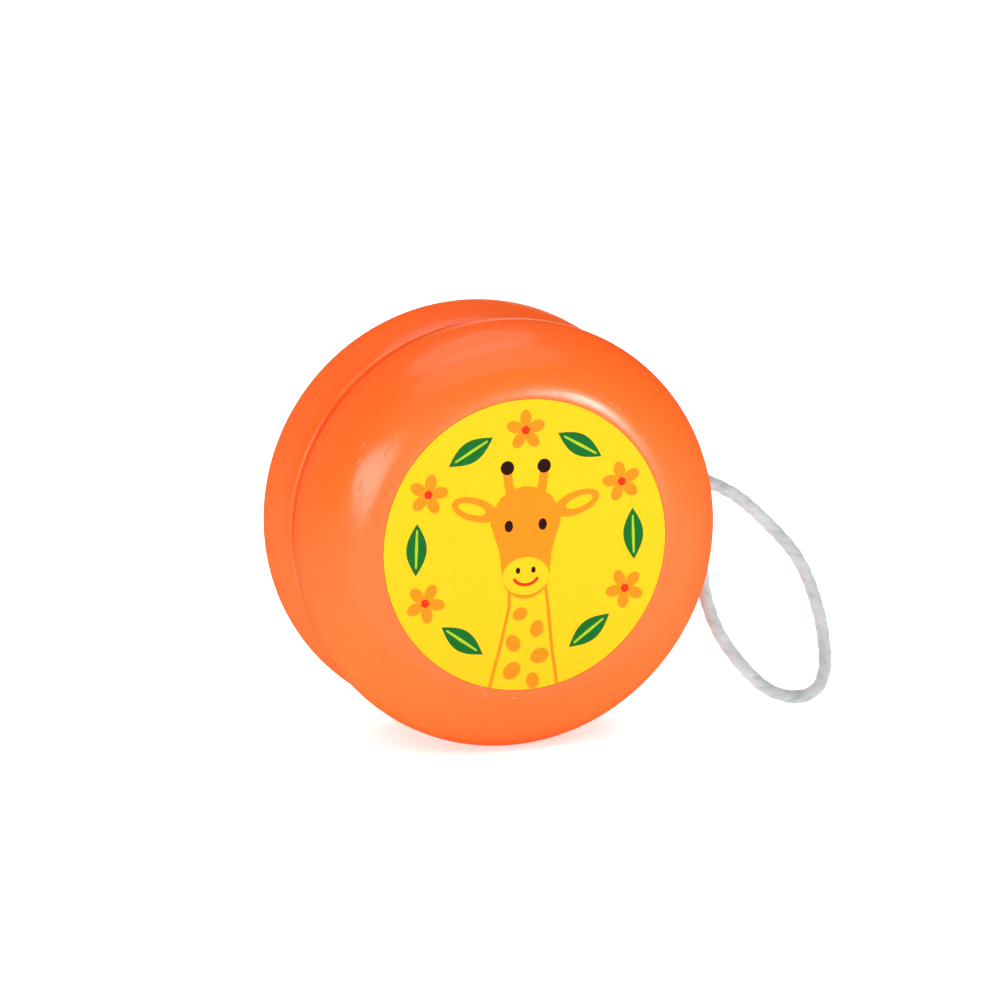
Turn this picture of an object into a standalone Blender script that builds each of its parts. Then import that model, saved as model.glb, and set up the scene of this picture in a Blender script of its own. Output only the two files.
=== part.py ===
"""A turned wooden yo-yo with a flush round label, its string wound on the axle, and a finger loop.

The origin is the middle of the axle, which lies along Y with the label towards -Y. The yo-yo
stands on its two rims, and the finger loop droops from the groove towards +X.
Run it with blender --background --python part.py, or from Blender's text editor.
"""

import math

import bmesh
import bpy
import numpy as np
from mathutils import Matrix, Vector

MM = 0.001

# The two wooden halves. Y distances are measured from the middle of the groove.
BODY_RADIUS = 30.0 * MM
HALF_GAP = 1.5 * MM
RIM_RADIUS = 28.0 * MM
EQUATOR_Y = 8.6 * MM
FACE_Y = 16.2 * MM
FACE_RADIUS = 20.8 * MM
SHOULDER_POWER = 1.9
FLANK_POWER = 1.7
SHOULDER_STEPS = 9
FLANK_STEPS = 7

# What is let into the halves.
JOINT_GAP = 0.3 * MM
DOWEL_RADIUS = 4.0 * MM
DOWEL_HALF_LENGTH = 11.5 * MM
DOWEL_CHAMFER = 0.5 * MM
LABEL_RADIUS = 20.3 * MM
LABEL_THICKNESS = 0.3 * MM

# The string.
CORD_DIAMETER = 1.9 * MM
CORD_PITCH = 1.95 * MM
WINDING_TURNS = 9
KNOT_LENGTH = 5.2 * MM
KNOT_RADIUS = 2.1 * MM
KNOT_THICKNESS = 3.2 * MM
KNOT_DISTANCE = 30.1 * MM
KNOT_ANGLE = math.radians(9.5)
KNOT_WRAPS = 3

# The finger loop's route in millimetres from the middle of the axle: over the top, down to the
# surface that the yo-yo stands on, and back up beside the groove to the knot.
FINGER_LOOP_ROUTE = [
    (32.5, 0.5, 3.6),
    (34.6, 0.9, 2.6),
    (38.0, 1.4, 0.6),
    (41.0, 1.9, -1.9),
    (43.5, 2.3, -4.3),
    (46.0, 2.6, -6.9),
    (48.0, 2.7, -9.5),
    (49.5, 2.6, -12.4),
    (50.6, 2.3, -15.5),
    (51.3, 1.8, -18.5),
    (51.6, 1.1, -21.6),
    (51.5, 0.3, -24.3),
    (50.9, -0.4, -26.7),
    (49.4, -1.0, -28.4),
    (47.2, -1.2, -29.0),
    (44.4, -1.4, -28.6),
    (41.7, -1.6, -27.3),
    (39.2, -1.8, -25.1),
    (36.9, -1.9, -22.5),
    (34.9, -1.8, -19.7),
    (33.4, -1.7, -16.8),
    (32.4, -1.5, -13.8),
    (31.9, -1.4, -11.6),
    (31.6, -1.3, -8.9),
    (31.4, -1.2, -5.5),
    (31.3, -1.1, -2.4),
    (31.4, -1.0, -0.2),
    (31.5, -0.9, 1.5),
]
POINT_SPACING = 1.8 * CORD_DIAMETER

# A turned piece is a polygon whose flats touch its true circle, with a flat facing down.
WOOD_SEGMENTS = 64
KNOT_SEGMENTS = 20

CORD_RADIUS = CORD_DIAMETER / 2
WINDING_INNER = DOWEL_RADIUS + JOINT_GAP
WINDING_LAST_TURN = WINDING_INNER + CORD_RADIUS + WINDING_TURNS * CORD_PITCH
WINDING_OUTER = WINDING_LAST_TURN + CORD_RADIUS


def srgb(red, green, blue):
    """A colour given as 0 to 255 sRGB values, as the linear values a shader takes."""
    shares = [value / 255 for value in (red, green, blue)]
    linear = [((s + 0.055) / 1.055) ** 2.4 if s > 0.04045 else s / 12.92 for s in shares]
    return (*linear, 1.0)


def material(name, color, roughness):
    made = bpy.data.materials.new(name)
    made.use_nodes = True
    shader = made.node_tree.nodes["Principled BSDF"]
    shader.inputs["Base Color"].default_value = color
    shader.inputs["Roughness"].default_value = roughness
    shader.inputs["Metallic"].default_value = 0.0
    return made


def add_object(name, data, finish, parent):
    made = bpy.data.objects.new(name, data)
    bpy.context.scene.collection.objects.link(made)
    made.parent = parent
    data.materials.append(finish)
    return made


def quarter(start, end, power, steps):
    """Points of a superellipse quarter. It leaves start along the radius and meets end along Y."""
    points = []
    for i in range(steps + 1):
        turn = math.pi / 2 * i / steps
        along = 1 - math.cos(turn) ** (2 / power)
        out = math.sin(turn) ** (2 / power)
        points.append((start[0] + (end[0] - start[0]) * out, start[1] + (end[1] - start[1]) * along))
    return points


def half_outline():
    """(radius, y) of a half's outer surface, from the groove's rim to the edge of its flat face."""
    rim, face = (RIM_RADIUS, HALF_GAP), (FACE_RADIUS, FACE_Y)
    equator = (BODY_RADIUS, EQUATOR_Y)
    flank = quarter(rim, equator, FLANK_POWER, FLANK_STEPS)
    shoulder = quarter(face, equator, SHOULDER_POWER, SHOULDER_STEPS)
    return flank + shoulder[-2::-1]


def turned(outline, segments):
    """A closed mesh spun about Y from (radius, y) points that start and end on the axis, or form a loop."""
    mesh = bpy.data.meshes.new("turned")
    shape = bmesh.new()
    stretch = 1 / math.cos(math.pi / segments)
    half_step = math.pi / segments
    points = []
    for radius, y in outline:
        reach = radius * stretch
        points.append(shape.verts.new((reach * math.cos(half_step), y, reach * math.sin(half_step))))
    edges = [shape.edges.new(pair) for pair in zip(points, points[1:])]
    if outline[0][0] > 0:
        edges.append(shape.edges.new((points[-1], points[0])))
    bmesh.ops.spin(
        shape,
        geom=points + edges,
        cent=(0, 0, 0),
        axis=(0, 1, 0),
        angle=2 * math.pi,
        steps=segments,
    )
    bmesh.ops.remove_doubles(shape, verts=shape.verts, dist=0.001 * MM)
    bmesh.ops.recalc_face_normals(shape, faces=shape.faces)
    shape.to_mesh(mesh)
    shape.free()
    mesh.shade_smooth()
    mesh.set_sharp_from_angle(angle=math.radians(35))
    return mesh


def half(name, side, label_seat, finish, parent):
    """One wooden half. side is -1 for the front and 1 for the rear."""
    bore_radius = DOWEL_RADIUS + JOINT_GAP
    bore_bottom = DOWEL_HALF_LENGTH + JOINT_GAP
    outline = [(0, bore_bottom), (bore_radius, bore_bottom), (bore_radius, HALF_GAP)]
    outline += half_outline()
    if label_seat:
        seat_radius = LABEL_RADIUS + JOINT_GAP
        seat_floor = FACE_Y - LABEL_THICKNESS - JOINT_GAP
        outline += [(seat_radius, FACE_Y), (seat_radius, seat_floor), (0, seat_floor)]
    else:
        outline += [(0, FACE_Y)]
    mesh = turned([(radius, side * y) for radius, y in outline], WOOD_SEGMENTS)
    return add_object(name, mesh, finish, parent)


def axle_dowel(finish, parent):
    end, rim = DOWEL_HALF_LENGTH, DOWEL_HALF_LENGTH - DOWEL_CHAMFER
    neck = DOWEL_RADIUS - DOWEL_CHAMFER
    outline = [(0, end), (neck, end), (DOWEL_RADIUS, rim), (DOWEL_RADIUS, -rim), (neck, -end), (0, -end)]
    return add_object("axle_dowel", turned(outline, WOOD_SEGMENTS), finish, parent)


def front_label(finish, parent):
    front, back = -FACE_Y, LABEL_THICKNESS - FACE_Y
    outline = [(0, front), (LABEL_RADIUS, front), (LABEL_RADIUS, back), (0, back)]
    return add_object("front_label", turned(outline, WOOD_SEGMENTS), finish, parent)


def string_winding(finish, parent):
    """The outer shape of the flat coil between the halves."""
    side = CORD_RADIUS
    outline = [
        (WINDING_INNER, -side),
        (WINDING_OUTER, -side),
        (WINDING_OUTER, side),
        (WINDING_INNER, side),
    ]
    return add_object("string_winding", turned(outline, WOOD_SEGMENTS), finish, parent)


def smooth_curve(route, spacing):
    """Even points, about a spacing apart, on a natural cubic spline through the route's points."""
    route = np.array(route, float)
    knots = np.concatenate([[0], np.cumsum(np.linalg.norm(np.diff(route, axis=0), axis=1))])
    step = np.diff(knots)
    slope = np.diff(route, axis=0) / step[:, None]
    count = len(route)
    system = np.eye(count)
    right = np.zeros_like(route)
    for i in range(1, count - 1):
        system[i, i - 1 : i + 2] = step[i - 1], 2 * (step[i - 1] + step[i]), step[i]
        right[i] = 6 * (slope[i] - slope[i - 1])
    bend = np.linalg.solve(system, right)
    at = np.linspace(0, knots[-1], 1 + round(knots[-1] / spacing))
    i = np.clip(np.searchsorted(knots, at) - 1, 0, count - 2)
    after, before = (at - knots[i])[:, None], (knots[i + 1] - at)[:, None]
    width = step[i][:, None]
    cubic = (bend[i] * before**3 + bend[i + 1] * after**3) / (6 * width)
    cubic += (route[i] / width - bend[i] * width / 6) * before
    cubic += (route[i + 1] / width - bend[i + 1] * width / 6) * after
    return [Vector(point) for point in cubic]


def cord(name, points, finish, parent):
    """A plain round tube along the points."""
    data = bpy.data.curves.new(name, "CURVE")
    data.dimensions = "3D"
    data.bevel_depth = CORD_RADIUS
    data.bevel_resolution = 2
    data.use_fill_caps = True
    spline = data.splines.new("POLY")
    spline.points.add(len(points) - 1)
    for slot, point in zip(spline.points, points):
        slot.co = (*point, 1)
    return add_object(name, data, finish, parent)


def knot_place():
    """The knot's middle, and the direction in which the lead runs into it from the coil."""
    middle = KNOT_DISTANCE * Vector((math.cos(KNOT_ANGLE), 0, math.sin(KNOT_ANGLE)))
    leaves_at = KNOT_ANGLE + math.acos(WINDING_LAST_TURN / KNOT_DISTANCE)
    leave_point = WINDING_LAST_TURN * Vector((math.cos(leaves_at), 0, math.sin(leaves_at)))
    return middle, (middle - leave_point).normalized()


def slip_knot(finish, parent):
    """A flattened barrel with a swelling for each wrap of the cord, lying along the lead."""
    middle, forward = knot_place()
    steps_per_wrap = 4
    steps = KNOT_WRAPS * steps_per_wrap
    outline = [(0, -KNOT_LENGTH / 2)]
    for i in range(steps + 1):
        share = i / steps
        swell = abs(math.sin(math.pi * KNOT_WRAPS * share))
        end_taper = 1 - abs(2 * share - 1) ** 4
        radius = KNOT_RADIUS * (0.62 + 0.16 * swell + 0.22 * end_taper)
        outline.append((radius, (share - 0.5) * KNOT_LENGTH))
    outline.append((0, KNOT_LENGTH / 2))
    mesh = turned(outline, KNOT_SEGMENTS)
    across = forward.cross(Vector((0, 1, 0)))
    flatten = KNOT_THICKNESS / (2 * KNOT_RADIUS)
    place = Matrix.Translation(middle) @ Matrix((across, forward, across.cross(forward))).transposed().to_4x4()
    mesh.transform(place @ Matrix.Diagonal((1, 1, flatten, 1)))
    return add_object("slip_knot", mesh, finish, parent)


def string_lead(finish, parent):
    """The straight stretch from the coil's surface to the knot."""
    middle, forward = knot_place()
    clear_of_coil = WINDING_OUTER + CORD_RADIUS + JOINT_GAP
    start = forward * math.sqrt(clear_of_coil**2 - WINDING_LAST_TURN**2)
    start += middle - forward * math.sqrt(KNOT_DISTANCE**2 - WINDING_LAST_TURN**2)
    end = middle - forward * (KNOT_LENGTH / 2 + JOINT_GAP)
    return cord("string_lead", smooth_curve([start, (start + end) / 2, end], POINT_SPACING), finish, parent)


def string_finger_loop(finish, parent):
    route = [tuple(MM * value for value in point) for point in FINGER_LOOP_ROUTE]
    return cord("string_finger_loop", smooth_curve(route, POINT_SPACING), finish, parent)


def axle_empty(name):
    """An empty on the joint's axis, which carries the pieces of one moving body."""
    made = bpy.data.objects.new(name, None)
    made.location = (0, 0, 0)
    bpy.context.scene.collection.objects.link(made)
    return made


def main():
    for old in list(bpy.data.objects):
        bpy.data.objects.remove(old)
    paint = material("orange_paint", srgb(253, 112, 44), 0.32)
    bare_wood = material("bare_wood", srgb(214, 176, 128), 0.65)
    print_paper = material("printed_label", srgb(252, 226, 45), 0.4)
    cotton = material("white_cotton", srgb(232, 232, 230), 0.9)

    spool = axle_empty("spool")
    half("front_half", -1, True, paint, spool)
    half("rear_half", 1, False, paint, spool)
    axle_dowel(bare_wood, spool)
    front_label(print_paper, spool)

    string = axle_empty("string")
    string_winding(cotton, string)
    string_lead(cotton, string)
    slip_knot(cotton, string)
    string_finger_loop(cotton, string)


main()
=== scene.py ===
"""The looks of the turned wooden yo-yo: painted halves, printed label, bare dowel and twisted cord.

The frame's origin is the middle of the axle, which lies along Y with the label towards -Y.
"""

import math

import bpy
import numpy as np
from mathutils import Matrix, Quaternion, Vector
from mathutils.geometry import delaunay_2d_cdt


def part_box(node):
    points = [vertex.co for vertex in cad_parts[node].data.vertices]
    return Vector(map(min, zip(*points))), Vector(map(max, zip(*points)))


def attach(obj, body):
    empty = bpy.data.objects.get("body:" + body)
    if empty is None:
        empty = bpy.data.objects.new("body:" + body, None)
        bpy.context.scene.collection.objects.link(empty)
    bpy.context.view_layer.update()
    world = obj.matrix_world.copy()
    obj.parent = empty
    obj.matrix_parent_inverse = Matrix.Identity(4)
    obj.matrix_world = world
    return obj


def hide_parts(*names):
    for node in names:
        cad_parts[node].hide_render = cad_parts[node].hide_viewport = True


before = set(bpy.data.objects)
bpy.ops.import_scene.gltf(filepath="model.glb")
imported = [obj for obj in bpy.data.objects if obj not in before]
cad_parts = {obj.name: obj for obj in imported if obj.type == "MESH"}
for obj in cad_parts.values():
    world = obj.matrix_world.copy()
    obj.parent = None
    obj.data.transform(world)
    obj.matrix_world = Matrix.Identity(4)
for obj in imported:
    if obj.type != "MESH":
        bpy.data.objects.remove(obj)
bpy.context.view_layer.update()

MM = 0.001

# Sizes that come from the CAD model.
FRONT_LOW, FRONT_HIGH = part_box("front_half")
_, DOWEL_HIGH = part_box("axle_dowel")
LABEL_LOW, LABEL_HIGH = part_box("front_label")
_, COIL_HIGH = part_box("string_winding")
BODY_RADIUS = FRONT_HIGH.z
FACE_Y = -FRONT_LOW.y
HALF_GAP = -FRONT_HIGH.y
DOWEL_RADIUS = DOWEL_HIGH.z
DOWEL_END = DOWEL_HIGH.y
LABEL_RADIUS = LABEL_HIGH.z
LABEL_THICKNESS = LABEL_HIGH.y - LABEL_LOW.y
CORD_RADIUS = COIL_HIGH.y
FLOOR_Z = -BODY_RADIUS

# The turned profile, as in the CAD model.
RIM_RADIUS = 28.0 * MM
EQUATOR_Y = 8.6 * MM
FACE_RADIUS = 20.8 * MM
SHOULDER_POWER = 1.9
FLANK_POWER = 1.7

# Finer detail of the turned halves, which the CAD model doesn't have.
BORE_CLEARANCE = 0.1 * MM
SEAT_CLEARANCE = 0.06 * MM
SEAT_ROUND = 0.04 * MM
EDGE_ROUND = 0.15 * MM
# The width of the lighter band at each rim: paint rubbed thin, and a painted highlight along the rim's
# edge.
RIM_RUBBING_AND_HIGHLIGHT_WIDTH = 0.2 * MM
TURNED_SEGMENTS = 256
FLANK_STEPS = 40
SHOULDER_STEPS = 56

# The string's route, as in the CAD model.
WINDING_TURNS = 9
CORD_PITCH = 1.95 * MM
KNOT_DISTANCE = 30.1 * MM
KNOT_ANGLE = math.radians(9.5)
KNOT_LENGTH = 5.2 * MM
FINGER_LOOP_ROUTE = [
    (32.5, 0.5, 3.6),
    (34.6, 0.9, 2.6),
    (38.0, 1.4, 0.6),
    (41.0, 1.9, -1.9),
    (43.5, 2.3, -4.3),
    (46.0, 2.6, -6.9),
    (48.0, 2.7, -9.5),
    (49.5, 2.6, -12.4),
    (50.6, 2.3, -15.5),
    (51.3, 1.8, -18.5),
    (51.6, 1.1, -21.6),
    (51.5, 0.3, -24.3),
    (50.9, -0.4, -26.7),
    (49.4, -1.0, -28.4),
    (47.2, -1.2, -29.0),
    (44.4, -1.4, -28.6),
    (41.7, -1.6, -27.3),
    (39.2, -1.8, -25.1),
    (36.9, -1.9, -22.5),
    (34.9, -1.8, -19.7),
    (33.4, -1.7, -16.8),
    (32.4, -1.5, -13.8),
    (31.9, -1.4, -11.6),
    (31.6, -1.3, -8.9),
    (31.4, -1.2, -5.5),
    (31.3, -1.1, -2.4),
    (31.4, -1.0, -0.2),
    (31.5, -0.9, 1.5),
]

# The string's own detail. A lay is the length in which the strands turn once.
CORD_LAY = 7.5 * MM
CORD_SIDES = 18
COIL_WANDER = 0.15 * MM
COIL_POINTS_PER_TURN = 72
COIL_SPACING = 0.6 * MM
LOOP_SPACING = 0.3 * MM
LEAD_BEFORE_KNOT = (15.0 * MM, 9.0 * MM, KNOT_LENGTH / 2)
TUCKED_END_AHEAD = 1.6 * MM
TUCKED_END_ASIDE = Vector((0, -0.8 * MM, -0.1 * MM))
KNOT_WRAPS = 3
WRAPS_LENGTH = 3.9 * MM
WRAPS_HALF_HEIGHT = 1.4 * MM
WRAPS_HALF_WIDTH = 0.95 * MM
WRAP_POINTS_PER_TURN = 24
WRAP_RADIUS = 0.72 * MM
WRAP_LAY = 5.5 * MM
WRAP_SIDES = 14
WRAP_SPACING = 0.2 * MM

# The camera, at the photograph's viewing angle.
CAMERA_AZIMUTH = math.radians(-18.62)
CAMERA_ELEVATION = math.radians(12.31)
CAMERA_DISTANCE = 601 * MM
CAMERA_LENS = 154.75
AIM_RIGHT = 1.66 * MM
AIM_UP = 2.94 * MM

# The studio.
SURROUNDINGS_STRENGTH = 0.36
FLOOR_REACH = 3.0
FLOOR_WASH_RADIANCE = 1.25
BOUNCE_CARD_PLACE = Vector((0.05, -0.13, FLOOR_Z + MM))
UP = Vector((0, 0, 1))


def linear(red, green, blue):
    """A colour given as 0 to 255 sRGB values, as the linear values a shader takes."""
    shares = [value / 255 for value in (red, green, blue)]
    values = [((s + 0.055) / 1.055) ** 2.4 if s > 0.04045 else s / 12.92 for s in shares]
    return (*values, 1.0)


# ---------------------------------------------------------------- camera, floor and lights


def direction(azimuth, elevation):
    """From the object towards a place at that azimuth and elevation, in radians. Azimuth 0 is -Y."""
    flat = math.cos(elevation)
    return Vector((math.sin(azimuth) * flat, -math.cos(azimuth) * flat, math.sin(elevation)))


def look_at(obj, place, target):
    obj.location = place
    obj.rotation_mode = "QUATERNION"
    obj.rotation_quaternion = (target - place).to_track_quat("-Z", "Y")


def make_camera():
    back = direction(CAMERA_AZIMUTH, CAMERA_ELEVATION)
    right = Vector((math.cos(CAMERA_AZIMUTH), math.sin(CAMERA_AZIMUTH), 0))
    up = back.cross(right)
    aim = AIM_RIGHT * right + AIM_UP * up
    camera = bpy.data.objects.new("camera", bpy.data.cameras.new("camera"))
    camera.data.lens = CAMERA_LENS
    camera.data.sensor_width = 36
    camera.data.clip_start = 0.01
    camera.data.clip_end = 50
    look_at(camera, aim + CAMERA_DISTANCE * back, aim)
    bpy.context.scene.collection.objects.link(camera)
    bpy.context.scene.camera = camera
    bpy.context.scene.view_settings.view_transform = "Standard"


def soft_lamp(name, place, target, size, radiance, roll=0.0, mirrored=True):
    """A soft oval lamp of some width and height, turned by roll degrees about its own direction."""
    width, height = size
    lamp = bpy.data.lights.new(name, "AREA")
    lamp.shape = "ELLIPSE"
    lamp.size = width
    lamp.size_y = height
    lamp.energy = math.pi**2 / 4 * width * height * radiance
    obj = bpy.data.objects.new(name, lamp)
    look_at(obj, place, target)
    obj.rotation_quaternion @= Quaternion((0, 0, 1), math.radians(roll))
    obj.visible_camera = False
    obj.visible_glossy = mirrored
    bpy.context.scene.collection.objects.link(obj)


def softbox(name, azimuth, elevation, distance, size, radiance, roll=0.0, mirrored=True):
    """A soft lamp that faces the yo-yo from that azimuth and elevation, in degrees."""
    place = direction(math.radians(azimuth), math.radians(elevation)) * distance
    soft_lamp(name, place, Vector((0, 0, 0)), size, radiance, roll, mirrored)


def make_surroundings():
    """White surroundings that fill the shadows and aren't mirrored."""
    world = bpy.data.worlds.new("studio")
    bpy.context.scene.world = world
    world.use_nodes = True
    background = world.node_tree.nodes["Background"]
    background.inputs["Color"].default_value = (1, 1, 1, 1)
    background.inputs["Strength"].default_value = SURROUNDINGS_STRENGTH
    world.cycles_visibility.glossy = False


def make_softboxes():
    """The first two lamps make the highlights on the front half. The others light it from all round."""
    softbox("left_softbox", -23.5, 7.4, 0.9, (0.68, 0.27), 5.2, roll=-26)
    softbox("right_softbox", 22.9, -1.6, 0.35, (0.015, 0.08), 60.0, roll=-22)
    softbox("top_softbox", 10, 55, 1.6, (1.6, 1.4), 0.76)
    softbox("overhead_softbox", 0, 89, 1.5, (1.4, 1.4), 1.2)
    softbox("back_softbox", 172, 55, 1.6, (1.6, 1.4), 2.0, mirrored=False)
    softbox("side_softbox", -140, 25, 1.2, (1.0, 1.0), 1.3, mirrored=False)
    softbox("rear_softbox", 161, 4, 1.0, (0.3, 0.3), 1.5)
    soft_lamp("bounce_card", BOUNCE_CARD_PLACE, BOUNCE_CARD_PLACE + UP, (0.3, 0.2), 0.3)


def make_floor():
    """A pale floor, with a lamp of its own that keeps it white as far as the horizon."""
    mesh = bpy.data.meshes.new("floor")
    low, high = -FLOOR_REACH, FLOOR_REACH
    corners = [(low, low, FLOOR_Z), (high, low, FLOOR_Z), (high, high, FLOOR_Z), (low, high, FLOOR_Z)]
    mesh.from_pydata(corners, [], [(0, 1, 2, 3)])
    floor = bpy.data.objects.new("floor", mesh)
    floor.visible_glossy = False
    bpy.context.scene.collection.objects.link(floor)
    finish, shader, _ = new_material("pale_floor")
    shader.inputs["Base Color"].default_value = (0.93, 0.93, 0.93, 1)
    shader.inputs["Roughness"].default_value = 1.0
    shader.inputs["Specular IOR Level"].default_value = 0.0
    mesh.materials.append(finish)

    lamp = bpy.data.lights.new("floor_wash", "SUN")
    lamp.energy = math.pi * FLOOR_WASH_RADIANCE
    lamp.angle = math.radians(120)
    wash = bpy.data.objects.new("floor_wash", lamp)
    bpy.context.scene.collection.objects.link(wash)
    lit = bpy.data.collections.new("lit_by_floor_wash")
    lit.objects.link(floor)
    wash.light_linking.receiver_collection = lit
    wash.light_linking.blocker_collection = lit


# ---------------------------------------------------------------- materials


def new_material(name):
    """(material, its Principled shader, a function that adds a node with some inputs set)."""
    made = bpy.data.materials.new(name)
    made.use_nodes = True
    tree = made.node_tree

    def add(kind, inputs=(), **settings):
        node = tree.nodes.new(kind)
        for key, value in settings.items():
            setattr(node, key, value)
        for key, value in dict(inputs).items():
            if isinstance(value, bpy.types.NodeSocket):
                tree.links.new(value, node.inputs[key])
            else:
                node.inputs[key].default_value = value
        return node

    return made, tree.nodes["Principled BSDF"], add


def connect(material, output, socket):
    material.node_tree.links.new(output, socket)


def stretched(add, scale):
    """Object coordinates, scaled along each axis."""
    coordinates = add("ShaderNodeTexCoord")
    return add("ShaderNodeMapping", {"Vector": coordinates.outputs["Object"], "Scale": scale})


def blend_colors(add, share, first, second):
    """A colour that goes from first to second with share."""
    mix = add("ShaderNodeMix", data_type="RGBA")
    mix.inputs["A"].default_value = first
    mix.inputs["B"].default_value = second
    mix.id_data.links.new(share, mix.inputs["Factor"])
    return mix.outputs["Result"]


def painted_wood():
    """Satin lacquer on turned wood, with lathe lines, pores, dents, scratches and a lighter rim: paint
    rubbed thin there, and a painted highlight.
    """
    made, shader, add = new_material("orange_paint")
    shader.inputs["Specular IOR Level"].default_value = 0.1
    shader.inputs["Coat Weight"].default_value = 0.17
    shader.inputs["Coat IOR"].default_value = 3.0
    shader.inputs["Coat Roughness"].default_value = 0.19
    place = add("ShaderNodeTexCoord").outputs["Object"]

    patches = add("ShaderNodeTexNoise", {"Vector": place, "Scale": 60.0, "Detail": 3.0})
    color = blend_colors(add, patches.outputs["Fac"], linear(251, 95, 27), linear(252, 100, 32))
    # The rim is painted a lighter orange: partly paint rubbed thin, partly a painted highlight along the
    # rim's edge.
    rim = add("ShaderNodeAttribute", attribute_name="rim")
    low, high = {"From Min": 0.42, "From Max": 0.58}, {"To Min": 0.15, "To Max": 0.7}
    uneven = add("ShaderNodeMapRange", {"Value": patches.outputs["Fac"], **low, **high})
    rim_rubbing_and_highlight_share = add("ShaderNodeMath", {0: rim.outputs["Fac"], 1: uneven.outputs["Result"]}, operation="MULTIPLY")
    rim_rubbing_and_highlight = add("ShaderNodeMix", {"Factor": rim_rubbing_and_highlight_share.outputs[0]}, data_type="RGBA")
    connect(made, color, rim_rubbing_and_highlight.inputs["A"])
    rim_rubbing_and_highlight.inputs["B"].default_value = linear(255, 158, 88)
    connect(made, rim_rubbing_and_highlight.outputs["Result"], shader.inputs["Base Color"])
    low, high = {"From Min": 0.3, "From Max": 0.7}, {"To Min": 0.45, "To Max": 0.55}
    roughness = add("ShaderNodeMapRange", {"Value": patches.outputs["Fac"], **low, **high})
    connect(made, roughness.outputs["Result"], shader.inputs["Roughness"])

    # Round the axle the lathe lines hardly change, and across the profile they change within 0.4 mm.
    flat = add("ShaderNodeVectorMath", {0: place, 1: (1, 0, 1)}, operation="MULTIPLY")
    round_axle = add("ShaderNodeVectorMath", {0: flat.outputs[0]}, operation="NORMALIZE")
    profile = add("ShaderNodeAttribute", attribute_name="profile")
    across = add("ShaderNodeCombineXYZ", {"Y": profile.outputs["Fac"]})
    inputs = {0: round_axle.outputs[0], 1: across.outputs[0]}
    lathe_place = add("ShaderNodeVectorMath", inputs, operation="ADD")
    lines = add("ShaderNodeMapping", {"Vector": lathe_place.outputs[0], "Scale": (3.0, 2600.0, 3.0)})
    lathe = add("ShaderNodeTexNoise", {"Vector": lines.outputs[0], "Scale": 1.0, "Detail": 3.0})
    short = add("ShaderNodeMapping", {"Vector": lathe_place.outputs[0], "Scale": (7.0, 1500.0, 7.0)})
    streaks = add("ShaderNodeTexNoise", {"Vector": short.outputs[0], "Scale": 1.0, "Detail": 1.0})
    inputs = {"Value": streaks.outputs["Fac"], "From Min": 0.67, "From Max": 0.73}
    scratch = add("ShaderNodeMapRange", inputs)
    grain = add("ShaderNodeMapping", {"Vector": place, "Scale": (1300.0, 900.0, 90.0)})
    pores = add("ShaderNodeTexNoise", {"Vector": grain.outputs[0], "Scale": 1.0, "Detail": 2.0})
    dents = add("ShaderNodeTexNoise", {"Vector": place, "Scale": 260.0, "Detail": 2.0})

    height = None
    layers = ((lathe.outputs["Fac"], 0.20), (pores.outputs["Fac"], 0.10), (dents.outputs["Fac"], 0.45))
    for source, share in (*layers, (scratch.outputs["Result"], -0.5)):
        inputs = {0: source, 1: share, 2: height.outputs[0] if height else 0.0}
        height = add("ShaderNodeMath", inputs, operation="MULTIPLY_ADD")
    bump = add("ShaderNodeBump", {"Height": height.outputs[0], "Strength": 0.5, "Distance": 0.0001})
    connect(made, bump.outputs["Normal"], shader.inputs["Normal"])
    connect(made, bump.outputs["Normal"], shader.inputs["Coat Normal"])
    return made


def bare_wood():
    made, shader, add = new_material("bare_wood")
    shader.inputs["Roughness"].default_value = 0.7
    place = stretched(add, (500, 45, 500)).outputs[0]
    grain = add("ShaderNodeTexNoise", {"Vector": place, "Scale": 2.0, "Detail": 6.0, "Roughness": 0.65})
    color = blend_colors(add, grain.outputs["Fac"], linear(176, 128, 78), linear(226, 192, 146))
    connect(made, color, shader.inputs["Base Color"])
    bump = add("ShaderNodeBump", {"Height": grain.outputs["Fac"], "Strength": 0.3, "Distance": 0.0001})
    connect(made, bump.outputs["Normal"], shader.inputs["Normal"])
    return made


def ink(name, color):
    """Printed paper under a thin clear film: a faint mottle in the ink and a fine tooth in the surface."""
    made, shader, add = new_material(name)
    shader.inputs["Roughness"].default_value = 0.5
    shader.inputs["Specular IOR Level"].default_value = 0.08
    place = stretched(add, (1, 1, 1)).outputs[0]
    mottle = add("ShaderNodeTexNoise", {"Vector": place, "Scale": 900.0, "Detail": 3.0, "Roughness": 0.7})
    darker = tuple(value * 0.93 for value in color[:3]) + (1.0,)
    lighter = tuple(min(1.0, value * 1.05) for value in color[:3]) + (1.0,)
    connect(made, blend_colors(add, mottle.outputs["Fac"], darker, lighter), shader.inputs["Base Color"])
    bump = add("ShaderNodeBump", {"Height": mottle.outputs["Fac"], "Strength": 0.12, "Distance": 0.00004})
    connect(made, bump.outputs["Normal"], shader.inputs["Normal"])
    return made


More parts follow.
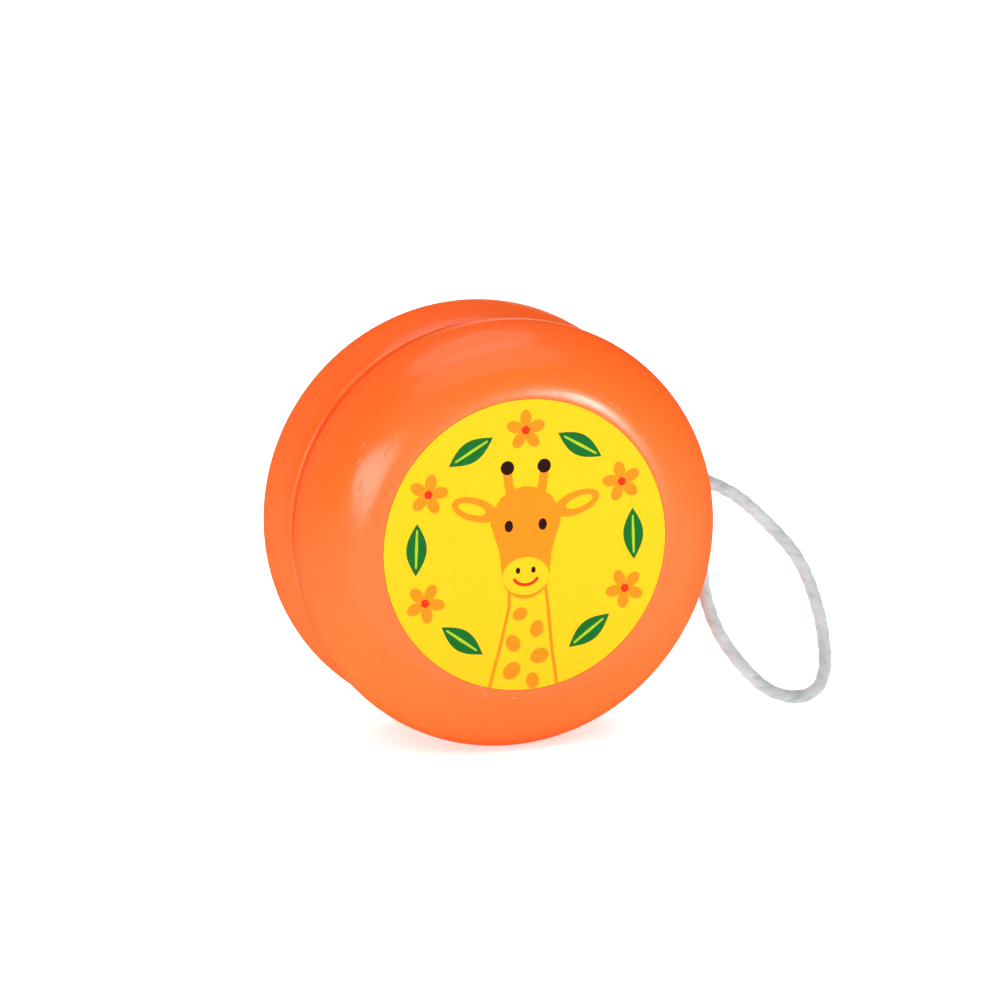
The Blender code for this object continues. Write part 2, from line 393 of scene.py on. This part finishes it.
def cotton():
    """White cotton. The cord's own map has U in cord diameters along it and V round it with its strands."""
    made, shader, add = new_material("white_cotton")
    shader.inputs["Roughness"].default_value = 0.95
    shader.inputs["Specular IOR Level"].default_value = 0.2
    shader.inputs["Sheen Weight"].default_value = 0.35
    shader.inputs["Sheen Roughness"].default_value = 0.6
    strands = add("ShaderNodeUVMap", uv_map="strands")
    place = add("ShaderNodeMapping", {"Vector": strands.outputs["UV"], "Scale": (1.1, 26.0, 1.0)})
    inputs = {"Vector": place.outputs[0], "Scale": 1.0, "Detail": 5.0, "Roughness": 0.7}
    fibres = add("ShaderNodeTexNoise", inputs)
    inputs = {"Vector": stretched(add, (1, 1, 1)).outputs[0], "Scale": 350.0, "Detail": 2.0}
    lint = add("ShaderNodeTexNoise", inputs)
    mixed = add("ShaderNodeMath", {0: fibres.outputs["Fac"], 1: lint.outputs["Fac"]}, operation="MULTIPLY")
    share = add("ShaderNodeMapRange", {"Value": mixed.outputs[0], "From Min": 0.12, "From Max": 0.38})
    color = blend_colors(add, share.outputs["Result"], linear(148, 154, 156), linear(172, 178, 181))

    # Three strands meet in three creases, where V is a sixth, a half and five sixths. The creases get a
    # darker grey: painted shade.
    turned_by = add("ShaderNodeSeparateXYZ", {"Vector": strands.outputs["UV"]})
    wave = add("ShaderNodeMath", {0: turned_by.outputs["Y"], 1: 3 * math.pi}, operation="MULTIPLY")
    lobes = add("ShaderNodeMath", {0: wave.outputs[0]}, operation="COSINE")
    ridge = add("ShaderNodeMath", {0: lobes.outputs[0]}, operation="ABSOLUTE")
    open_strand = add("ShaderNodeMapRange", {"Value": ridge.outputs[0], "From Max": 0.6})
    fuzz = add("ShaderNodeMapRange", {"Value": lint.outputs["Fac"], "From Min": 0.42, "From Max": 0.6})
    inputs = {0: open_strand.outputs["Result"], 1: fuzz.outputs["Result"]}
    clear = add("ShaderNodeMath", inputs, operation="MAXIMUM")
    shaded = add("ShaderNodeMix", {"Factor": clear.outputs[0]}, data_type="RGBA")
    shaded.inputs["A"].default_value = linear(145, 151, 154)
    connect(made, color, shaded.inputs["B"])
    connect(made, shaded.outputs["Result"], shader.inputs["Base Color"])
    bump = add("ShaderNodeBump", {"Height": fibres.outputs["Fac"], "Strength": 0.55, "Distance": 0.00012})
    connect(made, bump.outputs["Normal"], shader.inputs["Normal"])
    return made


# ---------------------------------------------------------------- mesh helpers


def way_along(line):
    """How far each point of a line is from its first one, along the line."""
    return np.concatenate([[0], np.cumsum(np.linalg.norm(np.diff(line, axis=0), axis=1))])


def mesh_object(name, points, faces, materials, face_materials=None):
    mesh = bpy.data.meshes.new(name)
    mesh.from_pydata([tuple(point) for point in points], [], faces)
    for finish in materials:
        mesh.materials.append(finish)
    if face_materials is not None:
        mesh.polygons.foreach_set("material_index", np.array(face_materials, np.int32))
    mesh.shade_smooth()
    obj = bpy.data.objects.new(name, mesh)
    bpy.context.scene.collection.objects.link(obj)
    return obj


def quarter(start, end, power, steps):
    """Points of a superellipse quarter. It leaves start along the radius and meets end along Y."""
    points = []
    for i in range(steps + 1):
        turn = math.pi / 2 * i / steps
        along = 1 - math.cos(turn) ** (2 / power)
        out = math.sin(turn) ** (2 / power)
        points.append((start[0] + (end[0] - start[0]) * out, start[1] + (end[1] - start[1]) * along))
    return points


def rounded(before, corner, after, radius, steps=5):
    """Points that round a corner between two straight lines of (radius, y) points."""
    corner = Vector(corner)
    start = corner + (Vector(before) - corner).normalized() * radius
    end = corner + (Vector(after) - corner).normalized() * radius
    points = []
    for i in range(steps + 1):
        t = i / steps
        points.append(tuple((1 - t) ** 2 * start + 2 * t * (1 - t) * corner + t**2 * end))
    return points


def turned(name, outline, rim, finish):
    """A closed smooth surface spun about Y from (radius, y) points that start and end on the axis.

    The points carry two values for the paint: the way along the profile, and a lighter band at the
    rim, partly paint rubbed thin and partly a painted highlight.
    """
    count = TURNED_SEGMENTS
    rings = outline[1:-1]
    angles = 2 * math.pi * np.arange(count) / count
    points = [(0, outline[0][1], 0), (0, outline[-1][1], 0)]
    for radius, y in rings:
        points += [(radius * math.cos(a), y, radius * math.sin(a)) for a in angles]
    faces = []
    for i in range(count):
        j = (i + 1) % count
        faces.append((0, 2 + i, 2 + j))
        last = 2 + (len(rings) - 1) * count
        faces.append((1, last + j, last + i))
        for ring in range(len(rings) - 1):
            a, b = 2 + ring * count, 2 + (ring + 1) * count
            faces.append((a + i, b + i, b + j, a + j))
    obj = mesh_object(name, points, faces, [finish])
    gone = way_along(outline)
    profile = np.concatenate([[gone[0], gone[-1]], np.repeat(gone[1:-1], count)])
    obj.data.attributes.new("profile", "FLOAT", "POINT").data.foreach_set("value", profile)
    # A lighter band just past the rim: partly paint rubbed thin, partly a painted highlight.
    rim_at = gone[rings.index(rim) + 1]
    rim_rubbing_and_highlight = np.exp(-(((profile - rim_at) / RIM_RUBBING_AND_HIGHLIGHT_WIDTH - 1.2) ** 2))
    obj.data.attributes.new("rim", "FLOAT", "POINT").data.foreach_set("value", rim_rubbing_and_highlight)
    outward = sum(face.normal.dot(face.center) * face.area for face in obj.data.polygons)
    if outward < 0:
        obj.data.flip_normals()
    obj.data.set_sharp_from_angle(angle=math.radians(40))
    return obj


# ---------------------------------------------------------------- the wooden halves


def half(name, node, side, label_seat, finish):
    """One painted half. side is -1 for the front and 1 for the rear."""
    bore_radius = DOWEL_RADIUS + BORE_CLEARANCE
    bore_bottom = DOWEL_END + BORE_CLEARANCE
    rim, face = (RIM_RADIUS, HALF_GAP), (FACE_RADIUS, FACE_Y)
    equator = (BODY_RADIUS, EQUATOR_Y)
    outline = [(0, bore_bottom), (bore_radius, bore_bottom)]
    outline += rounded((bore_radius, bore_bottom), (bore_radius, HALF_GAP), rim, EDGE_ROUND)
    outline += quarter(rim, equator, FLANK_POWER, FLANK_STEPS)
    outline += quarter(face, equator, SHOULDER_POWER, SHOULDER_STEPS)[-2::-1]
    if label_seat:
        seat_radius = LABEL_RADIUS + SEAT_CLEARANCE
        seat_floor = FACE_Y - LABEL_THICKNESS - SEAT_CLEARANCE
        outline += rounded(face, (seat_radius, FACE_Y), (seat_radius, seat_floor), SEAT_ROUND)
        outline += [(seat_radius, seat_floor), (0, seat_floor)]
    else:
        outline += [(0, FACE_Y)]
    made = turned(name, [(radius, side * y) for radius, y in outline], (rim[0], side * rim[1]), finish)
    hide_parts(node)
    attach(made, "spool")


# ---------------------------------------------------------------- the label's picture

INKS = {
    "yellow": linear(216, 174, 15),
    "orange": linear(224, 123, 13),
    "brown": linear(38, 10, 5),
    "green": linear(8, 95, 32),
    "lime": linear(152, 176, 20),
    "red": linear(204, 38, 10),
}


def ellipse(x, y, half_width, half_height, tilt=0.0, points=40):
    """A closed outline. tilt is in degrees, anticlockwise."""
    turn = math.radians(tilt)
    outline = []
    for i in range(points):
        angle = 2 * math.pi * i / points
        across, along = half_width * math.cos(angle), half_height * math.sin(angle)
        outline.append(
            (
                x + across * math.cos(turn) - along * math.sin(turn),
                y + across * math.sin(turn) + along * math.cos(turn),
            )
        )
    return outline


def band(line, widths):
    """A closed outline round a line of points, with a half-width at each and round ends."""
    left, right = [], []
    last = len(line) - 1
    for i, (x, y) in enumerate(line):
        before, after = line[max(i - 1, 0)], line[min(i + 1, last)]
        along = Vector((after[0] - before[0], after[1] - before[1])).normalized()
        across = Vector((-along.y, along.x)) * widths[i]
        left.append((x + across.x, y + across.y))
        right.append((x - across.x, y - across.y))
    outline = right + round_end(line[last], right[-1], left[-1]) + left[::-1]
    return outline + round_end(line[0], left[0], right[0])


def round_end(middle, start, end, steps=8):
    """Points of the half circle about middle from start to end, without the two, anticlockwise."""
    radius = math.dist(middle, start)
    first = math.atan2(start[1] - middle[1], start[0] - middle[0])
    points = []
    for i in range(1, steps):
        angle = first + math.pi * i / steps
        points.append((middle[0] + radius * math.cos(angle), middle[1] + radius * math.sin(angle)))
    return points


def anticlockwise(outline):
    """The outline, turned round if it runs clockwise."""
    sides = zip(outline, outline[1:] + outline[:1])
    twice_area = sum(x0 * y1 - x1 * y0 for (x0, y0), (x1, y1) in sides)
    return outline if twice_area > 0 else outline[::-1]


def arc(x, y, half_width, half_height, start, end, steps=16):
    """Points along part of an ellipse, from the start angle to the end angle in degrees."""
    angles = [math.radians(start + (end - start) * i / steps) for i in range(steps + 1)]
    return [(x + half_width * math.cos(a), y + half_height * math.sin(a)) for a in angles]


def arc_band(x, y, half_width, half_height, start, end, thickness):
    line = arc(x, y, half_width, half_height, start, end)
    return band(line, [thickness / 2] * len(line))


def placed(shapes, x, y, size, tilt=0.0):
    """The shapes made smaller or larger, turned and moved."""
    turn = math.radians(tilt)
    cos, sin = size * math.cos(turn), size * math.sin(turn)
    moved = []
    for ink_name, line in shapes:
        new_line = [(x + px * cos - py * sin, y + px * sin + py * cos) for px, py in line]
        moved.append((ink_name, new_line))
    return moved


def flower():
    """A plain five-petalled flower, one unit in radius."""
    shapes = []
    for i in range(5):
        angle = math.radians(90 + 72 * i)
        petal = ellipse(0.58 * math.cos(angle), 0.58 * math.sin(angle), 0.42, 0.29, 90 + 72 * i, 28)
        shapes.append(("orange", petal))
    shapes.append(("red", ellipse(0, 0, 0.21, 0.21, 0, 24)))
    return shapes


def leaf():
    """A plain pointed leaf, one unit long along +X, with a light rib."""
    steps = 24
    upper = [(i / steps, 0.2 * math.sin(math.pi * i / steps)) for i in range(steps + 1)]
    lower = [(x, -y) for x, y in reversed(upper[1:-1])]
    rib = [(0.14, 0.0), (0.5, 0.0), (0.84, 0.0)]
    return [("green", upper + lower), ("lime", band(rib, [0.02, 0.03, 0.018]))]


def giraffe_head():
    """A plain front view of a giraffe's long head, about one unit high."""
    shapes = []
    for side in (-1, 1):
        horn = [(side * 0.09, 0.25), (side * 0.12, 0.36), (side * 0.13, 0.45)]
        shapes.append(("orange", band(horn, [0.04, 0.032, 0.032])))
        shapes.append(("brown", ellipse(side * 0.13, 0.48, 0.048, 0.048)))
        shapes.append(("orange", ellipse(side * 0.36, 0.21, 0.17, 0.08, side * 18)))
        shapes.append(("yellow", ellipse(side * 0.38, 0.216, 0.1, 0.036, side * 18)))
    shapes.append(("orange", band([(0, 0.1), (0, -0.1), (0, -0.26)], [0.25, 0.185, 0.17])))
    shapes.append(("yellow", ellipse(0, -0.27, 0.165, 0.13)))
    for side in (-1, 1):
        shapes.append(("brown", ellipse(side * 0.12, 0.08, 0.03, 0.04)))
        shapes.append(("brown", ellipse(side * 0.055, -0.23, 0.016, 0.022)))
    shapes.append(("red", arc_band(0, -0.27, 0.085, 0.06, 200, 340, 0.022)))
    return shapes


def giraffe_neck(line, widths, spots, edge=0.024):
    """A neck with an orange edge, and spots given as (x, y, size, tilt)."""
    shapes = [("orange", band(line, widths))]
    shapes.append(("yellow", band(line, [width - edge for width in widths])))
    for x, y, size, tilt in spots:
        shapes.append(("orange", ellipse(x, y, size, size * 0.8, tilt)))
    return shapes


def label_picture():
    """A plain giraffe in a wreath of flowers and leaves, on a disc one unit in radius.

    Later shapes lie on top.
    """
    shapes = [("yellow", ellipse(0, 0, 1, 1, 0, 256))]
    wreath = 0.79
    for angle in (90, 30, 150, -26, 206):
        turn = math.radians(angle)
        x, y = wreath * math.cos(turn), wreath * math.sin(turn)
        shapes += placed(flower(), x, y, 0.14, angle - 90)
    for angle in (60, 120, 2, 178, -54, 234):
        turn = math.radians(angle - 13)
        x, y = wreath * math.cos(turn), wreath * math.sin(turn)
        shapes += placed(leaf(), x, y, 0.36, angle + 90)

    neck = [(0.0, -0.12), (0.02, -0.42), (0.0, -0.72), (-0.02, -1.05)]
    spots = [
        (-0.04, -0.47, 0.055, 20),
        (0.08, -0.58, 0.060, 70),
        (-0.09, -0.67, 0.062, 120),
        (0.10, -0.77, 0.066, 15),
        (-0.10, -0.86, 0.068, 40),
        (0.05, -0.94, 0.058, 100),
    ]
    shapes += giraffe_neck(neck, [0.13, 0.15, 0.20, 0.27], spots)
    shapes += placed(giraffe_head(), 0.0, 0.06, 1.0)
    return shapes


def make_label():
    """A printed disc whose face is divided along the picture's outlines, one surface to each ink."""
    shapes = label_picture()
    points, loops = [], []
    for _, outline in shapes:
        outline = anticlockwise(outline)
        loops.append(list(range(len(points), len(points) + len(outline))))
        points += [Vector(point) for point in outline]
    flat, _, triangles, _, _, sources = delaunay_2d_cdt(points, [], loops, 0, 1e-6)
    names = list(INKS)
    kept = [(list(t), max(s)) for t, s in zip(triangles, sources) if 0 in s]
    count = len(flat)
    front, back = -FACE_Y, LABEL_THICKNESS - FACE_Y
    places = [(point.x * LABEL_RADIUS, front, point.y * LABEL_RADIUS) for point in flat]
    places += [(x, back, z) for x, _, z in places]
    faces = [tuple(t) for t, _ in kept]
    inks = [names.index(shapes[top][0]) for _, top in kept]
    edges = {(t[i], t[(i + 1) % 3]) for t, _ in kept for i in range(3)}
    border = [(a, b) for a, b in edges if (b, a) not in edges]
    # The last ink is for the label's cut edge, which is painted shade.
    edge_shade_ink = len(names)
    faces += [tuple(count + i for i in reversed(t)) for t, _ in kept]
    faces += [(b, a, count + a, count + b) for a, b in sorted(border)]
    inks += [edge_shade_ink] * (len(faces) - len(inks))
    materials = [ink("ink_" + name, color) for name, color in INKS.items()]
    # The cut edge is inked dark brown as painted shade for the gap round the label in its seat.
    materials.append(ink("label_edge_painted_shade", linear(90, 45, 15)))
    used = sorted({i for face in faces for i in face})
    renumber = {old: new for new, old in enumerate(used)}
    faces = [tuple(renumber[i] for i in face) for face in faces]
    label = mesh_object("printed_label", [places[i] for i in used], faces, materials, inks)
    label.data.set_sharp_from_angle(angle=math.radians(30))
    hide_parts("front_label")
    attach(label, "spool")


# ---------------------------------------------------------------- the string


def smooth_curve(route, spacing):
    """Even points, about a spacing apart, on a natural cubic spline through the route's points."""
    route = np.array(route, float)
    knots = way_along(route)
    step = np.diff(knots)
    slope = np.diff(route, axis=0) / step[:, None]
    count = len(route)
    system = np.eye(count)
    right = np.zeros_like(route)
    for i in range(1, count - 1):
        system[i, i - 1 : i + 2] = step[i - 1], 2 * (step[i - 1] + step[i]), step[i]
        right[i] = 6 * (slope[i] - slope[i - 1])
    bend = np.linalg.solve(system, right)
    at = np.linspace(0, knots[-1], 1 + round(knots[-1] / spacing))
    i = np.clip(np.searchsorted(knots, at) - 1, 0, count - 2)
    after, before = (at - knots[i])[:, None], (knots[i + 1] - at)[:, None]
    width = step[i][:, None]
    cubic = (bend[i] * before**3 + bend[i + 1] * after**3) / (6 * width)
    cubic += (route[i] / width - bend[i] * width / 6) * before
    cubic += (route[i + 1] / width - bend[i + 1] * width / 6) * after
    return cubic


def twisted_cord(line, radius, lay, sides, finish, name):
    """A three-strand twisted cord along the line: a lobed section that turns once in each lay."""
    line = np.array(line, float)
    along = np.gradient(line, axis=0)
    along /= np.linalg.norm(along, axis=1)[:, None]
    gone = way_along(line)
    normal = np.cross(along[0], (0.3, 1.0, 0.2))
    points = []
    for place, forward, distance in zip(line, along, gone):
        normal = normal - forward * (normal @ forward)
        normal /= np.linalg.norm(normal)
        side = np.cross(forward, normal)
        turn = -2 * math.pi * distance / lay
        for k in range(sides):
            angle = 2 * math.pi * k / sides
            reach = radius * (0.91 + 0.12 * abs(math.cos(1.5 * angle)) ** 0.8)
            c, s = math.cos(angle + turn), math.sin(angle + turn)
            points.append(place + reach * (c * normal + s * side))
    faces, map_u, map_v = [], [], []
    for ring in range(len(line) - 1):
        a, b = ring * sides, (ring + 1) * sides
        u, v = gone[ring] / (2 * radius), gone[ring + 1] / (2 * radius)
        for k in range(sides):
            j = (k + 1) % sides
            faces.append((a + k, a + j, b + j, b + k))
            map_u += [u, u, v, v]
            map_v += [k / sides, (k + 1) / sides, (k + 1) / sides, k / sides]
    first, last = len(points), len(points) + 1
    points += [line[0], line[-1]]
    tail = (len(line) - 1) * sides
    for k in range(sides):
        j = (k + 1) % sides
        faces.append((first, j, k))
        faces.append((last, tail + k, tail + j))
        map_u += [0.0] * 6
        map_v += [0.0] * 6
    obj = mesh_object(name, points, faces, [finish])
    layer = obj.data.uv_layers.new(name="strands")
    layer.data.foreach_set("uv", np.stack([map_u, map_v], 1).ravel())
    return obj


def knot_place():
    """The knot's middle, the direction in which the lead runs into it, and where that leaves the coil."""
    last_turn = COIL_HIGH.z - CORD_RADIUS
    middle = KNOT_DISTANCE * Vector((math.cos(KNOT_ANGLE), 0, math.sin(KNOT_ANGLE)))
    leaves_at = KNOT_ANGLE + math.acos(last_turn / KNOT_DISTANCE)
    leave_point = last_turn * Vector((math.cos(leaves_at), 0, math.sin(leaves_at)))
    return middle, (middle - leave_point).normalized(), leaves_at


def winding_line(leaves_at):
    """The flat coil from the loop round the axle out to its last turn, one pitch out for each turn."""
    first_turn = COIL_HIGH.z - CORD_RADIUS - WINDING_TURNS * CORD_PITCH
    points = []
    for i in range(WINDING_TURNS * COIL_POINTS_PER_TURN + 1):
        turns = i / COIL_POINTS_PER_TURN
        angle = leaves_at + 2 * math.pi * (WINDING_TURNS - turns)
        radius = first_turn + CORD_PITCH * turns
        y = COIL_WANDER * math.sin(2.3 * angle)
        points.append((radius * math.cos(angle), y, radius * math.sin(angle)))
    return points


def resampled(line, spacing):
    """Even points, about a spacing apart, on the straight pieces between the line's points."""
    line = np.array(line, float)
    gone = way_along(line)
    at = np.linspace(0, gone[-1], 1 + round(gone[-1] / spacing))
    return np.stack([np.interp(at, gone, line[:, axis]) for axis in range(3)], axis=1)


def make_knot(middle, forward, finish):
    """The slip knot's wraps of cord round the lead, tighter towards both ends."""
    along_axle = Vector((0, 1, 0))
    across = forward.cross(along_axle)
    steps = KNOT_WRAPS * WRAP_POINTS_PER_TURN
    helix = []
    for i in range(steps + 1):
        share = i / steps
        angle = 2 * math.pi * KNOT_WRAPS * share + 0.6
        ends = 1 - 0.45 * abs(2 * share - 1) ** 6
        point = middle + forward * (share - 0.5) * WRAPS_LENGTH
        point += across * (WRAPS_HALF_HEIGHT * ends * math.cos(angle))
        point += along_axle * (WRAPS_HALF_WIDTH * ends * math.sin(angle))
        helix.append(point)
    line = resampled(helix, WRAP_SPACING)
    knot = twisted_cord(line, WRAP_RADIUS, WRAP_LAY, WRAP_SIDES, finish, "knot_wraps")
    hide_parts("slip_knot")
    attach(knot, "string")
    return knot


def make_string(finish):
    """The whole cord: the coil on the axle, the lead, the finger loop and its end inside the knot."""
    middle, forward, leaves_at = knot_place()
    coil = winding_line(leaves_at)
    lead = [middle - forward * distance for distance in LEAD_BEFORE_KNOT]
    loop = [Vector(point) * MM for point in FINGER_LOOP_ROUTE]
    tucked_end = middle + forward * TUCKED_END_AHEAD + TUCKED_END_ASIDE
    free = smooth_curve([coil[-1], *lead, middle, *loop, tucked_end], LOOP_SPACING)
    coil = resampled(coil, COIL_SPACING)
    line = np.concatenate([coil[:-1], free])
    string = twisted_cord(line, CORD_RADIUS, CORD_LAY, CORD_SIDES, finish, "string")
    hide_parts("string_winding", "string_lead", "string_finger_loop")
    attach(string, "string")

    knot = make_knot(middle, forward, finish)


# ---------------------------------------------------------------- putting it together


def main():
    make_camera()
    make_string(cotton())
    make_surroundings()
    make_softboxes()
    make_floor()
    paint = painted_wood()
    half("front_half_turned", "front_half", -1, True, paint)
    half("rear_half_turned", "rear_half", 1, False, paint)
    make_label()
    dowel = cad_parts["axle_dowel"]
    dowel.data.materials.clear()
    dowel.data.materials.append(bare_wood())


main()
